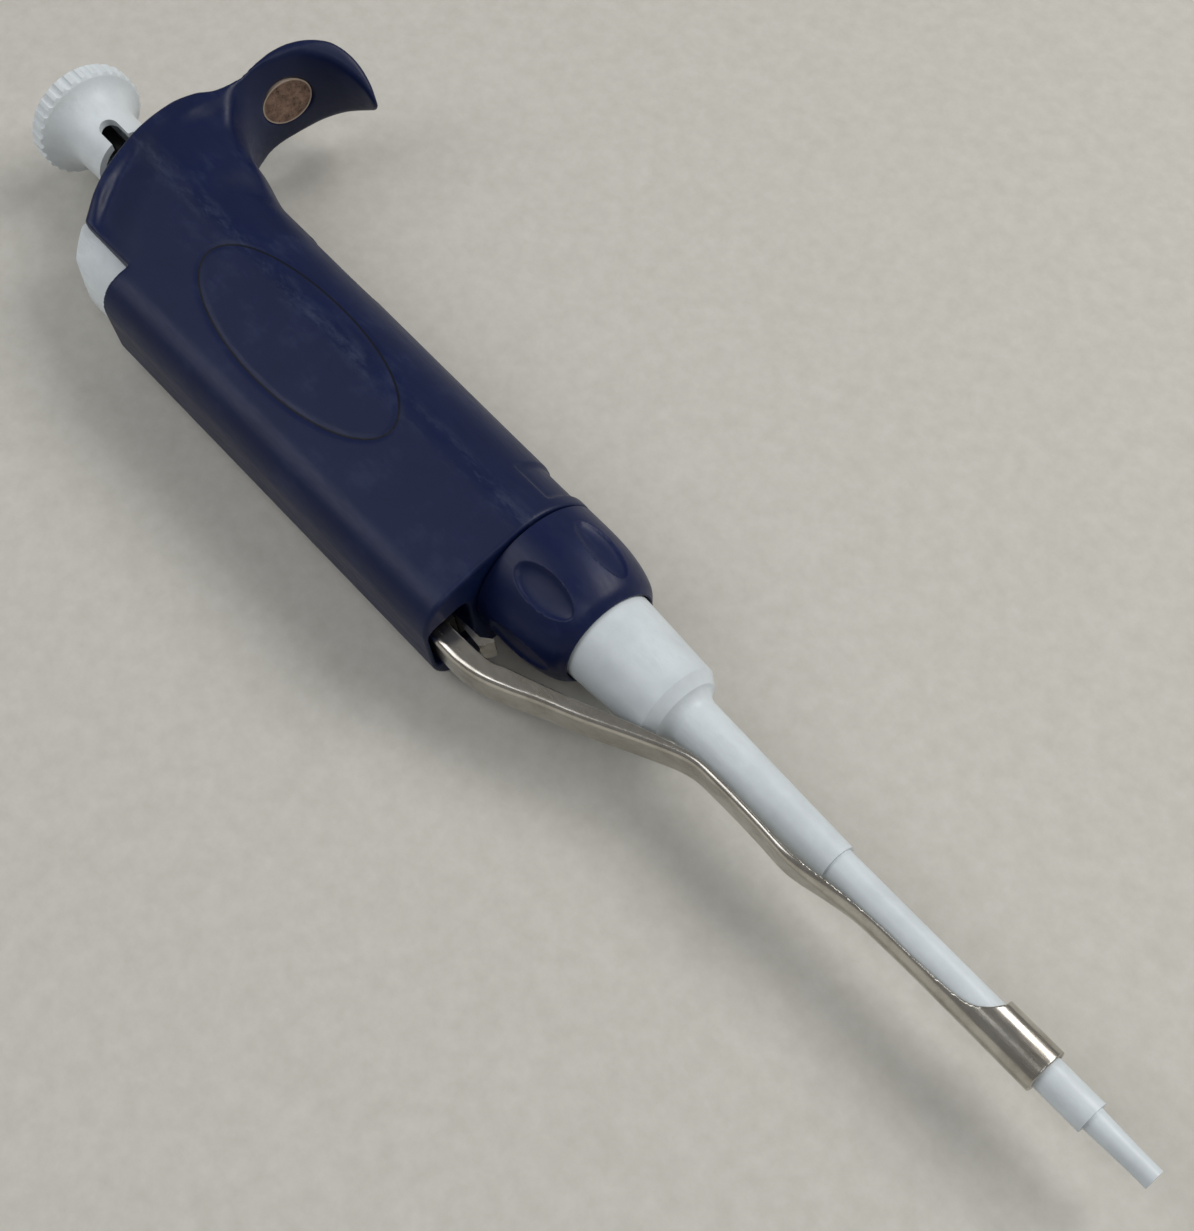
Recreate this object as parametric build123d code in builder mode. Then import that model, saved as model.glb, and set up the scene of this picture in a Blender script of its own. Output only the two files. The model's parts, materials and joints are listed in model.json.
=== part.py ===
from build123d import *
import math
import os

# Adjustable micropipette, lying on its flat side as it does on a bench.
# Millimetres.  Origin on the main axis at the open end of the nozzle.
# +X runs up the main axis to the thumb knob, +Z is up from the bench.
# The ejector side ("back") faces +Y and the finger hook ("front") faces -Y.

# ---------------------------------------------------------------- driving sizes
ROLL = 6.0  # the handle's flat rests on the bench, which lifts the hook
FRONT_R = 11.8  # handle front and axis height above the bench
HANDLE_END_X = 117.6
HANDLE_TOP_X = 222.0
BACK_END_X = 115.0
BACK_Y_END = 21.0
BACK_Y_TOP = 22.0
BACK_CORNER_R = 5.5
BORE_R = 9.6
SHELF_X = 199.4

NOZZLE_LENGTH = 10.2
NOZZLE_LAND = 3.0
NOZZLE_R = 1.55
NOZZLE_BASE_R = 1.8
STEM_R = 2.5
STEM_TOP_R = 2.62
STEM_TOP_X = 55.4
NECK_LOW_R = 3.1
NECK_HIGH_R = 3.95
SHOULDER_X = 87.2
SHOULDER_R = 6.85
SLEEVE_SEAT_X = 101.4
SLEEVE_SEAT_R = 7.75

NUT_LOW_X = 101.4
NUT_HIGH_X = 117.5
NUT_DIMPLES = 6
NUT_DIMPLE_ANGLE = 5.0  # of the first dimple, from the back
THREAD_R = 8.8
RUN = 0.1  # radial running clearance

KNOB_LOW_X = 222.0
KNOB_RIM_X = 233.0
KNOB_TOP_X = 236.4
KNOB_R = 9.65
KNOB_NECK_R = 5.7
KNOB_SCALLOPS = 30
ROD_R = 1.9

FIRST_STOP = 6.0  # knob travel to the first stop at the setting it is left at
VOLUME_DOWN = 6.0  # how much further the screw can lower that stop
WASHER_TOP_X = 132.4

EJECTOR_Y = 16.6
ARM_HALF_WIDTH = 3.4
ARM_WALL = 0.55

sine = math.sin(math.radians(ROLL))
cosine = math.cos(math.radians(ROLL))

# The pipette's own middle plane: local x along the axis, local y to the back,
# local z out of the side that faces up.
SIDE = Plane(origin=(0, 0, 0), x_dir=(1, 0, 0), z_dir=(0, sine, cosine))


def across(x):
    """Plane square to the axis at x: local x to the back, local y to the upper side."""
    return Plane(origin=(x, 0, 0), x_dir=(0, cosine, -sine), z_dir=(1, 0, 0))


def outline(points):
    """Closed straight-sided face in the middle plane."""
    with BuildSketch(SIDE, mode=Mode.PRIVATE) as sketch:
        with BuildLine():
            Polyline(*points, close=True)
        make_face()
    return sketch.sketch


def ring(x_low, x_high, r_inner, r_outer):
    """Outline of a plain tube, to be revolved about the axis."""
    return outline([(x_low, r_inner), (x_high, r_inner), (x_high, r_outer), (x_low, r_outer)])


def spring(x_low, x_high, mean_r, wire_r, turns, y=0.0):
    """Round-wire compression spring along the axis, or beside it at local y."""
    seat = across(x_low + wire_r).shift_origin(across(x_low + wire_r).from_local_coords((y, 0, 0)))
    length = x_high - x_low - 2 * wire_r
    coil = Helix(pitch=length / turns, height=length, radius=mean_r)
    coil = seat.location * coil
    section = Plane(origin=coil @ 0, z_dir=coil % 0)
    with BuildPart(mode=Mode.PRIVATE) as wire:
        with BuildSketch(section):
            Circle(wire_r)
        sweep(path=coil)
    return wire.part


# ---------------------------------------------------------------- handle
def handle_section(x, back_y):
    """Outer section: round front, flat sides that close towards a rounded back."""
    along = (back_y - BACK_CORNER_R - FRONT_R * sine) / cosine
    lean = math.radians(ROLL)
    corner_y = FRONT_R * math.sin(lean) + along * math.cos(lean)
    corner_z = FRONT_R * math.cos(lean) - along * math.sin(lean)
    arc_mid = BACK_CORNER_R * math.sin(math.radians(45 + ROLL / 2))
    centre_y = corner_y - BACK_CORNER_R * math.sin(lean)
    centre_z = corner_z - BACK_CORNER_R * math.cos(lean)
    with BuildSketch(across(x), mode=Mode.PRIVATE) as sketch:
        with BuildLine():
            front_up = (FRONT_R * math.sin(lean), FRONT_R * math.cos(lean))
            front_down = (front_up[0], -front_up[1])
            ThreePointArc(front_down, (-FRONT_R, 0), front_up)
            Line(front_up, (corner_y, corner_z))
            mid_angle = math.radians((90 - ROLL) / 2)
            arc_point = (
                centre_y + BACK_CORNER_R * math.cos(mid_angle),
                centre_z + BACK_CORNER_R * math.sin(mid_angle),
            )
            ThreePointArc((corner_y, corner_z), arc_point, (centre_y + BACK_CORNER_R, centre_z))
            Line((centre_y + BACK_CORNER_R, centre_z), (centre_y + BACK_CORNER_R, -centre_z))
            low_point = (arc_point[0], -arc_point[1])
            ThreePointArc((centre_y + BACK_CORNER_R, -centre_z), low_point, (corner_y, -corner_z))
            Line((corner_y, -corner_z), front_down)
        make_face()
    return sketch.sketch


# Side outline of the top edge, from the back corner over to the hook's tip.
TOP_EDGE = [
    (209.0, 14.8),
    (212.4, 10.1),
    (215.0, 5.5),
    (217.6, -1.5),
    (218.0, -7.8),
    (217.0, -12.4),
    (215.4, -16.2),
    (214.9, -19.4),
    (215.9, -23.6),
    (216.4, -28.3),
    (215.6, -32.5),
    (213.4, -35.9),
    (210.6, -37.9),
    (207.4, -38.6),
    (204.4, -38.3),
    (202.2, -37.6),
]
# Finger side of the hook, from the tip round to the front of the body.
HOOK_UNDERSIDE = [
    (201.7, -36.5),
    (205.5, -35.9),
    (209.4, -34.1),
    (212.1, -30.9),
    (213.3, -26.5),
    (213.7, -23.0),
    (212.8, -19.6),
    (210.4, -16.4),
    (206.4, -13.6),
    (200.5, -11.6),
    (196.8, -10.9),
]
# Half widths of the hook's tongue, seen from the front, as (x, half width).
TONGUE = [(217.0, 10.4), (214.4, 9.2), (212.1, 8.1), (208.4, 6.1), (205.6, 4.3), (203.3, 2.6)]
# The same for the web behind it, which is narrow where it leaves the body.
WEB = [(222.0, 10.4), (212.6, 10.4), (210.0, 8.6), (205.0, 7.0), (196.0, 5.5)]
# Half widths of the top seen along the axis, as (y, half width).
PLAN = [(0.0, 10.4), (-20.0, 10.4), (-26.0, 9.9), (-30.0, 9.0), (-34.0, 8.4), (-40.0, 7.0)]
TONGUE_Y = -30.0
HOOK_HALF = 10.4
NOTCH_X = 196.4
NOTCH_Y = 14.6
WINDOW_LOW_X = 168.5
WINDOW_HIGH_X = 184.5
WINDOW_HALF = 4.7
DISC_X = 213.3
DISC_Y = -26.5
DISC_R = 4.6
DISC_LEAN = 8.0  # the hook's finger side leans this much towards the body there


def front(y):
    """Plane square to the back direction: local x up the axis, looking at the hook."""
    return Plane(origin=SIDE.from_local_coords((0, y, 0)), x_dir=(1, 0, 0), z_dir=(0, cosine, -sine))


def mirrored(points):
    """The points and their mirror images below the first axis, as one open chain."""
    return points + [(a, -b) for a, b in reversed(points)]


def disc_plane(depth):
    """Plane of the hook's round insert, square to the finger side of the hook."""
    lean = math.radians(DISC_LEAN)
    centre = SIDE.from_local_coords((DISC_X, DISC_Y, 0))
    normal = SIDE.from_local_coords((DISC_X - math.cos(lean), DISC_Y + math.sin(lean), 0))
    direction = normal - centre
    return Plane(origin=centre - direction * depth, x_dir=(0, sine, cosine), z_dir=direction)


# everything the hook may fill, seen from the front and along the axis
with BuildPart() as hook_room:
    with BuildSketch(front(TONGUE_Y - 15)):
        with BuildLine():
            Spline(*TONGUE, (201.6, 0), *mirrored(TONGUE)[len(TONGUE):])
            Polyline((217.0, -HOOK_HALF), (222.0, -HOOK_HALF), (222.0, HOOK_HALF), (217.0, HOOK_HALF))
        make_face()
    extrude(amount=15)
    with BuildSketch(front(TONGUE_Y)):
        with BuildLine():
            Polyline(*mirrored(WEB), close=True)
        make_face()
    extrude(amount=-TONGUE_Y)
    with BuildSketch(across(190)):
        with BuildLine():
            Polyline(*mirrored(PLAN), close=True)
        make_face()
    extrude(amount=40, mode=Mode.INTERSECT)

with BuildPart() as hook:
    with BuildSketch(SIDE.offset(-HOOK_HALF)):
        with BuildLine():
            Spline(*HOOK_UNDERSIDE)
            above = [(222.0, -1.5), (222.0, -45.0), (HOOK_UNDERSIDE[0][0], -45.0)]
            Polyline(HOOK_UNDERSIDE[-1], *above, HOOK_UNDERSIDE[0])
        make_face()
    extrude(amount=2 * HOOK_HALF)
    add(hook_room.part, mode=Mode.INTERSECT)

with BuildPart() as handle:
    loft([handle_section(BACK_END_X, BACK_Y_END), handle_section(HANDLE_TOP_X, BACK_Y_TOP)])
    add(hook.part)
    # top edge, and the slanted lower end behind the coupling nut
    with BuildSketch(SIDE.offset(-20)):
        with BuildLine():
            Spline(*TOP_EDGE)
            above = [(195.0, -38.0), (195.0, -50.0), (230.0, -50.0), (230.0, 30.0), (205.0, 30.0)]
            Polyline(TOP_EDGE[-1], HOOK_UNDERSIDE[0], *above, TOP_EDGE[0])
        make_face()
    extrude(amount=40, mode=Mode.SUBTRACT)
    end_cut = [(100, -30), (HANDLE_END_X, -30), (HANDLE_END_X, 9.5)]
    end_cut += [(BACK_END_X, 20.5), (BACK_END_X, 30), (100, 30)]
    extrude(outline(end_cut), amount=20, both=True, mode=Mode.SUBTRACT)
    # notch for the ejector button at the back of the top
    notch = [(NOTCH_X, NOTCH_Y), (230, NOTCH_Y), (230, 30), (NOTCH_X, 30)]
    extrude(outline(notch), amount=20, both=True, mode=Mode.SUBTRACT)
    # main bore, the shelf above the drive, and the flared bore that takes the knob's skirt
    bore = [(100, 0), (100, 12.0), (HANDLE_END_X, 12.0), (HANDLE_END_X, BORE_R)]
    bore += [(SHELF_X, BORE_R), (SHELF_X, 3.4), (204.0, 3.4), (204.0, 6.5)]
    bore += [(214.0, 6.5), (223.0, 12.0), (223.0, 0)]
    revolve(outline(bore), axis=Axis.X, mode=Mode.SUBTRACT)
    # channel of the ejector rod, and the wider one that the button slides in
    with BuildSketch(across(100)):
        with Locations((16.1, 0)):
            RectangleRounded(7.6, 10.0, 1.5)
    extrude(amount=86, mode=Mode.SUBTRACT)
    with BuildSketch(across(181.0)):
        with Locations((13.6, 0)):
            Circle(7.3)
        with Locations((6.6, 0)):
            Rectangle(13.0, 20.0, mode=Mode.SUBTRACT)
    extrude(amount=40, mode=Mode.SUBTRACT)
    # volume window in the front wall
    with BuildSketch(SIDE.offset(-WINDOW_HALF)):
        with Locations(((WINDOW_LOW_X + WINDOW_HIGH_X) / 2, -10)):
            Rectangle(WINDOW_HIGH_X - WINDOW_LOW_X, 8)
    extrude(amount=2 * WINDOW_HALF, mode=Mode.SUBTRACT)
    # shallow grip recess near the lower end of the front
    recess = ring(121.0, 127.2, FRONT_R - 1.1, FRONT_R + 3)
    revolve(recess.rotate(Axis.X, 120), axis=Axis.X, revolution_arc=120, mode=Mode.SUBTRACT)
    # seat of the round insert in the hook
    with BuildSketch(disc_plane(1.0)):
        Circle(DISC_R)
    extrude(amount=3, mode=Mode.SUBTRACT)
handle.part.label = "handle_body"

with BuildPart() as hanger_disc:
    with BuildSketch(disc_plane(0.95)):
        Circle(DISC_R - 0.05)
    extrude(amount=0.9)
hanger_disc.part.label = "hanger_disc"

with BuildPart() as window:
    lens = ring(WINDOW_LOW_X + 0.1, WINDOW_HIGH_X - 0.1, BORE_R + 0.1, FRONT_R - 0.3)
    revolve(lens, axis=Axis.X)
    with BuildSketch(SIDE.offset(-WINDOW_HALF + 0.1)):
        with Locations(((WINDOW_LOW_X + WINDOW_HIGH_X) / 2, -10)):
            Rectangle(30, 8)
    extrude(amount=2 * WINDOW_HALF - 0.2, mode=Mode.INTERSECT)
window.part.label = "volume_window"

# ---------------------------------------------------------------- knob and plunger
with BuildPart() as knob:
    with BuildSketch(SIDE):
        with BuildLine():
            Line((KNOB_LOW_X, 4.4), (KNOB_LOW_X, KNOB_NECK_R))
            Line((KNOB_LOW_X, KNOB_NECK_R), (227.5, KNOB_NECK_R + 0.1))
            Spline((227.5, KNOB_NECK_R + 0.1), (230.6, 6.6), (232.3, 8.1), (KNOB_RIM_X, 9.2))
            Line((KNOB_RIM_X, 9.2), (KNOB_RIM_X + 0.4, KNOB_R))
            Line((KNOB_RIM_X + 0.4, KNOB_R), (KNOB_TOP_X - 0.5, KNOB_R))
            Line((KNOB_TOP_X - 0.5, KNOB_R), (KNOB_TOP_X, 9.2))
            Line((KNOB_TOP_X, 9.2), (KNOB_TOP_X, 8.0))
            Line((KNOB_TOP_X, 8.0), (KNOB_TOP_X - 1.2, 8.0))
            Line((KNOB_TOP_X - 1.2, 8.0), (KNOB_TOP_X - 1.2, 0))
            Line((KNOB_TOP_X - 1.2, 0), (230.5, 0))
            Line((230.5, 0), (230.5, 4.4))
            Line((230.5, 4.4), (KNOB_LOW_X, 4.4))
        make_face()
    revolve(axis=Axis.X)
    with BuildSketch(across(KNOB_RIM_X - 2)):
        with PolarLocations(KNOB_R + 0.45, KNOB_SCALLOPS):
            Circle(0.8)
    extrude(amount=8, mode=Mode.SUBTRACT)
    # round-topped slots on both sides of the skirt
    with BuildSketch(SIDE.offset(-8)):
        with Locations((223.6, 0)):
            SlotOverall(6.4, 3.2)
        with Locations((221.0, 0)):
            Rectangle(5.0, 3.2)
    extrude(amount=16, mode=Mode.SUBTRACT)
    # socket for the plunger rod
    with BuildSketch(across(230.0)):
        Circle(ROD_R)
    extrude(amount=3.0, mode=Mode.SUBTRACT)
knob.part.label = "plunger_knob"

with BuildPart() as knob_cap:
    cap = [(235.25, 0), (235.25, 7.9), (236.6, 7.9), (237.2, 7.2), (237.7, 5.0), (237.9, 0)]
    revolve(outline(cap), axis=Axis.X)
knob_cap.part.label = "knob_cap"

with BuildPart() as plunger_rod:
    with BuildSketch(across(114.6)):
        Circle(ROD_R)
    extrude(amount=233.0 - 114.6)
    with BuildSketch(across(113.1)):
        Circle(3.2)
    extrude(amount=1.5)
plunger_rod.part.label = "plunger_rod"

with BuildPart() as stop_collar:
    revolve(ring(WASHER_TOP_X + VOLUME_DOWN + FIRST_STOP, 146.5, ROD_R, 4.0), axis=Axis.X)
stop_collar.part.label = "stop_collar"

with BuildPart() as spring_seat:
    revolve(ring(156.0, 157.5, ROD_R, 6.8), axis=Axis.X)
spring_seat.part.label = "plunger_spring_seat"

# ---------------------------------------------------------------- volume setting
with BuildPart() as stroke_screw:
    revolve(ring(157.6, 186.0, ROD_R + RUN, 4.6), axis=Axis.X)
stroke_screw.part.label = "stroke_screw"

with BuildPart() as stroke_nut:
    revolve(ring(163.0, 167.6, 4.6 + RUN, BORE_R), axis=Axis.X)
stroke_nut.part.label = "stroke_nut"

with BuildPart() as drive_sleeve:
    revolve(ring(168.0, 199.2, 4.6 + RUN, 6.0), axis=Axis.X)
drive_sleeve.part.label = "drive_sleeve"

WHEEL_WIDTH = 4.6
WHEEL_PITCH = 4.9
WHEEL_LOW_X = 169.6
wheel_names = ["units_wheel", "tens_wheel", "hundreds_wheel"]
wheels = []
for index, wheel_name in enumerate(wheel_names):
    wheel_x = WHEEL_LOW_X + index * WHEEL_PITCH
    with BuildPart() as wheel:
        revolve(ring(wheel_x, wheel_x + WHEEL_WIDTH, 6.0 + RUN, 9.0), axis=Axis.X)
        # detent notches in the lower rim, one for each digit
        with BuildSketch(across(wheel_x)):
            with PolarLocations(9.0, 10):
                Circle(0.5)
        extrude(amount=1.0, mode=Mode.SUBTRACT)
    wheel.part.label = wheel_name
    wheels.append(wheel.part)

with BuildPart() as friction_ring:
    with BuildSketch(SIDE):
        with Locations((185.8, 6.9)):
            Circle(0.85)
    revolve(axis=Axis.X)
friction_ring.part.label = "friction_ring"

with BuildPart() as friction_washer:
    revolve(ring(186.8, 188.0, 6.0 + RUN, BORE_R), axis=Axis.X)
friction_washer.part.label = "friction_washer"

with BuildPart() as top_bearing:
    revolve(ring(192.0, 198.0, 6.0 + RUN, BORE_R), axis=Axis.X)
top_bearing.part.label = "top_bearing"

# ---------------------------------------------------------------- springs and stops
with BuildPart() as plunger_spring:
    add(spring(132.5, 155.9, 5.4, 0.35, 9))
plunger_spring.part.label = "plunger_spring"

with BuildPart() as blowout_washer:
    revolve(ring(131.0, WASHER_TOP_X, ROD_R + RUN, 9.3), axis=Axis.X)
blowout_washer.part.label = "blowout_washer"

with BuildPart() as blowout_spring:
    add(spring(126.1, 130.9, 7.6, 0.4, 3))
blowout_spring.part.label = "blowout_spring"

with BuildPart() as spring_retainer:
    revolve(ring(123.2, 126.0, 4.0, BORE_R), axis=Axis.X)
spring_retainer.part.label = "spring_retainer"

# ---------------------------------------------------------------- coupling and liquid end
with BuildPart() as spigot:
    spigot_outline = [(105.6, 6.9), (123.1, 6.9), (123.1, BORE_R)]
    spigot_outline += [(117.7, BORE_R), (117.7, THREAD_R), (105.6, THREAD_R)]
    revolve(outline(spigot_outline), axis=Axis.X)
spigot.part.label = "threaded_spigot"

# a slim spindle beside the axis, which cuts one finger dimple
DIMPLE_Y = 15.3
with BuildPart() as dimple_cutter:
    with BuildSketch(SIDE):
        with BuildLine():
            Line((100.8, DIMPLE_Y), (116.8, DIMPLE_Y))
            ThreePointArc((116.8, DIMPLE_Y), (108.8, DIMPLE_Y - 4.8), (100.8, DIMPLE_Y))
        make_face()
    revolve(axis=Axis((0, DIMPLE_Y * cosine, -DIMPLE_Y * sine), (1, 0, 0)))

with BuildPart() as coupling_nut:
    with BuildSketch(SIDE):
        with BuildLine():
            Line((NUT_LOW_X, 7.95), (NUT_LOW_X, 8.2))
            Spline((NUT_LOW_X, 8.2), (103.2, 9.8), (106.6, 11.0), (111.0, 11.6), (NUT_HIGH_X, 11.6))
            Line((NUT_HIGH_X, 11.6), (NUT_HIGH_X, THREAD_R + RUN))
            Line((NUT_HIGH_X, THREAD_R + RUN), (103.4, THREAD_R + RUN))
            Line((103.4, THREAD_R + RUN), (103.4, 7.95))
            Line((103.4, 7.95), (NUT_LOW_X, 7.95))
        make_face()
    revolve(axis=Axis.X)
    for index in range(NUT_DIMPLES):
        angle = NUT_DIMPLE_ANGLE + index * 360 / NUT_DIMPLES
        add(dimple_cutter.part.rotate(Axis.X, angle), mode=Mode.SUBTRACT)
coupling_nut.part.label = "coupling_nut"

with BuildPart() as liquid_end:
    with BuildSketch(SIDE):
        with BuildLine():
            Line((0, 0), (0, NOZZLE_R))
            Line((0, NOZZLE_R), (NOZZLE_LAND, NOZZLE_R))
            Line((NOZZLE_LAND, NOZZLE_R), (NOZZLE_LENGTH, NOZZLE_BASE_R))
            Line((NOZZLE_LENGTH, NOZZLE_BASE_R), (NOZZLE_LENGTH, STEM_R))
            Line((NOZZLE_LENGTH, STEM_R), (STEM_TOP_X, STEM_TOP_R))
            Line((STEM_TOP_X, STEM_TOP_R), (STEM_TOP_X, NECK_LOW_R))
            Line((STEM_TOP_X, NECK_LOW_R), (83.0, NECK_HIGH_R))
            ThreePointArc((83.0, NECK_HIGH_R), (84.6, 4.4), (85.4, 5.6))
            Line((85.4, 5.6), (SHOULDER_X, SHOULDER_R))
            Line((SHOULDER_X, SHOULDER_R), (103.5, SLEEVE_SEAT_R))
            Line((103.5, SLEEVE_SEAT_R), (103.5, 8.75))
            Line((103.5, 8.75), (105.5, 8.75))
            Line((105.5, 8.75), (105.5, 0))
            Line((105.5, 0), (0, 0))
        make_face()
    revolve(axis=Axis.X)
    # air channel, piston bore, seal pocket and spring chamber
    inside = [(-1, 0), (-1, 0.45), (30, 0.45), (30, 0.75), (58, 0.75), (58, 2.2), (87.4, 2.2)]
    inside += [(87.4, 5.9), (106, 5.9), (106, 0)]
    revolve(outline(inside), axis=Axis.X, mode=Mode.SUBTRACT)
liquid_end.part.label = "liquid_end"

with BuildPart() as piston:
    with BuildSketch(across(48.0)):
        Circle(0.6)
    extrude(amount=62.2)
piston.part.label = "piston"

with BuildPart() as piston_head:
    head = [(108.5, 0.6), (113.0, 0.6), (113.0, 4.6), (110.2, 4.6), (110.2, 3.0), (108.5, 3.0)]
    revolve(outline(head), axis=Axis.X)
piston_head.part.label = "piston_head"

with BuildPart() as piston_spring:
    add(spring(87.5, 110.1, 3.7, 0.3, 11))
piston_spring.part.label = "piston_spring"

with BuildPart() as piston_seal:
    revolve(ring(58.05, 60.4, 0.6 + RUN, 2.1), axis=Axis.X)
piston_seal.part.label = "piston_seal"

with BuildPart() as seal_ring:
    with BuildSketch(SIDE):
        with Locations((61.1, 1.42)):
            Circle(0.64)
    revolve(axis=Axis.X)
seal_ring.part.label = "seal_ring"

with BuildPart() as seal_retainer:
    revolve(ring(61.9, 70.0, 0.6 + RUN, 2.1), axis=Axis.X)
seal_retainer.part.label = "seal_retainer"

# ---------------------------------------------------------------- tip ejector
BUTTON_LOW_X = 190.0
with BuildPart() as ejector_button:
    with BuildSketch(across(BUTTON_LOW_X)):
        with Locations((13.6, 0)):
            Circle(7.0)
        with Locations((6.7, 0)):
            Rectangle(13.4, 20.0, mode=Mode.SUBTRACT)
    extrude(amount=21.0)
    side_cut = [(186, 12), (186, 20.6), (203.4, 20.6), (207.6, 18.9), (210.4, 15.0), (210.7, 12)]
    extrude(outline(side_cut), amount=12, both=True, mode=Mode.INTERSECT)
    with BuildSketch(across(BUTTON_LOW_X - 1)):
        with Locations((EJECTOR_Y, 0)):
            Circle(1.5)
    extrude(amount=9.0, mode=Mode.SUBTRACT)
ejector_button.part.label = "ejector_button"

with BuildPart() as ejector_rod:
    with BuildSketch(across(119.0)):
        with Locations((EJECTOR_Y, 0)):
            Circle(1.5)
    extrude(amount=198.0 - 119.0)
ejector_rod.part.label = "ejector_rod"

with BuildPart() as rod_washer:
    with BuildSketch(across(188.6)):
        with Locations((EJECTOR_Y, 0)):
            Circle(3.1)
            Circle(1.5, mode=Mode.SUBTRACT)
    extrude(amount=1.3)
rod_washer.part.label = "ejector_rod_washer"

with BuildPart() as ejector_bush:
    with BuildSketch(across(156.0)):
        with Locations((16.1, 0)):
            RectangleRounded(7.6, 10.0, 1.5)
        with Locations((EJECTOR_Y, 0)):
            Circle(1.5 + RUN, mode=Mode.SUBTRACT)
    extrude(amount=6.0)
ejector_bush.part.label = "ejector_bush"

with BuildPart() as ejector_spring:
    add(spring(162.1, 188.5, 2.4, 0.3, 10, y=EJECTOR_Y))
ejector_spring.part.label = "ejector_spring"

with BuildPart() as arm_socket:
    with BuildSketch(across(118.0)):
        with Locations((EJECTOR_Y, 0)):
            Rectangle(3.9, 5.5)
            Circle(1.5, mode=Mode.SUBTRACT)
    extrude(amount=7.0)
arm_socket.part.label = "arm_socket"

# The arm is a channel of sheet steel: back wall outwards, both sides bent to the shaft.
ARM_BACK = [
    (17.9, 3.45),
    (36.0, 3.4),
    (47.0, 3.65),
    (56.0, 5.1),
    (60.0, 5.3),
    (76.0, 5.2),
    (80.0, 5.75),
    (104.0, 16.6),
    (109.0, 18.8),
    (113.0, 19.3),
    (126.0, 19.3),
]
ARM_FRONT = [
    (126.0, 15.6),
    (113.0, 15.3),
    (108.0, 14.4),
    (104.0, 13.0),
    (86.0, 6.6),
    (80.0, 3.9),
    (76.0, 3.0),
    (60.0, 3.0),
    (56.0, 2.9),
    (47.0, 1.6),
    (36.0, 1.0),
    (30.0, 0.6),
    (27.4, 0.0),
    (17.9, 0.0),
]
with BuildPart() as ejector_arm:
    extrude(outline(ARM_BACK + ARM_FRONT), amount=ARM_HALF_WIDTH, both=True)
    inner_back = [(x, y - ARM_WALL) for x, y in ARM_BACK]
    inner_front = [(126.0 + 2, 10.0), (104.0, 8.0), (86.0, 2.0), (60.0, -2.0), (17.9, -4.0)]
    inner_back[0] = (10.0, inner_back[0][1])
    inner_back[-1] = (130.0, inner_back[-1][1])
    inner_outline = inner_back + inner_front + [(10.0, -4.0)]
    extrude(outline(inner_outline), amount=ARM_HALF_WIDTH - ARM_WALL, both=True, mode=Mode.SUBTRACT)
    # sleeve that pushes the tip off
    revolve(ring(17.9, 26.6, 2.85, 3.35), axis=Axis.X)
ejector_arm.part.label = "ejector_arm"

with BuildPart() as arm_clip:
    clip = [(112.2, 14.9), (118.5, 14.5), (118.5, 14.1), (113.2, 13.9), (111.6, 12.6), (111.2, 12.9)]
    extrude(outline(clip), amount=2.2, both=True)
arm_clip.part.label = "arm_clip"

# ---------------------------------------------------------------- write every piece
pieces = [handle.part, hanger_disc.part, window.part, knob.part, knob_cap.part, plunger_rod.part]
pieces += [stop_collar.part, spring_seat.part, stroke_screw.part, stroke_nut.part, drive_sleeve.part]
pieces += wheels
pieces += [friction_ring.part, friction_washer.part, top_bearing.part, plunger_spring.part]
pieces += [blowout_washer.part, blowout_spring.part, spring_retainer.part, spigot.part]
pieces += [coupling_nut.part, liquid_end.part, piston.part, piston_head.part, piston_spring.part]
pieces += [piston_seal.part, seal_ring.part, seal_retainer.part, ejector_button.part]
pieces += [ejector_rod.part, rod_washer.part, ejector_bush.part, ejector_spring.part]
pieces += [arm_socket.part, ejector_arm.part, arm_clip.part]

os.makedirs("parts", exist_ok=True)
for piece in pieces:
    export_step(piece, f"parts/{piece.label}.step")
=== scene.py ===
"""Adjustable micropipette on a pale bench: the looks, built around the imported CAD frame."""

import json
import math

import bpy
import numpy as np
from mathutils import Matrix, Vector


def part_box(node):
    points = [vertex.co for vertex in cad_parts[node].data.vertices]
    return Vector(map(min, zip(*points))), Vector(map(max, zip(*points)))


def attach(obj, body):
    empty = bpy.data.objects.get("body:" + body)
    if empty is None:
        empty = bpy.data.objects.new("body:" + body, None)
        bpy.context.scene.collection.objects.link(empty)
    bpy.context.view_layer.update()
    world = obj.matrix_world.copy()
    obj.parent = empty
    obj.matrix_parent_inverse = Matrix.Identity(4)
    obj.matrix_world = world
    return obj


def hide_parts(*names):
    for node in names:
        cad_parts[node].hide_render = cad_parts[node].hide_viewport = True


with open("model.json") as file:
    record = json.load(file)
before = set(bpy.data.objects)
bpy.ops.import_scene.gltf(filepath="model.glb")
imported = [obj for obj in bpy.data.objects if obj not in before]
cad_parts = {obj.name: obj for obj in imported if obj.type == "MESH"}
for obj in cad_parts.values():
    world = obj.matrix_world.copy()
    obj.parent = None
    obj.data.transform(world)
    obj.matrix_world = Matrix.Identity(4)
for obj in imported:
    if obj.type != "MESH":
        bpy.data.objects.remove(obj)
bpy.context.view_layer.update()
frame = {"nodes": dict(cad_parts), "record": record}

MM = 0.001
ROLL = math.radians(6.0)  # the pipette lies rolled onto its flat side by this much
FLOOR_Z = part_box("handle_body")[0].z

# Local axes of the pipette: x up its main axis, y to the ejector side, z out of the
# side that faces up. Shapes below are written in these axes, in millimetres.
TO_ROW = Matrix.Rotation(-ROLL, 4, "X") @ Matrix.Scale(MM, 4)


# ---------------------------------------------------------------- distance fields
def round_both(a, b, radius):
    """What two shapes share, with its outer edge rounded."""
    corner = np.hypot(np.maximum(a + radius, 0), np.maximum(b + radius, 0))
    return np.minimum(np.maximum(a, b), -radius) + corner


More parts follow.
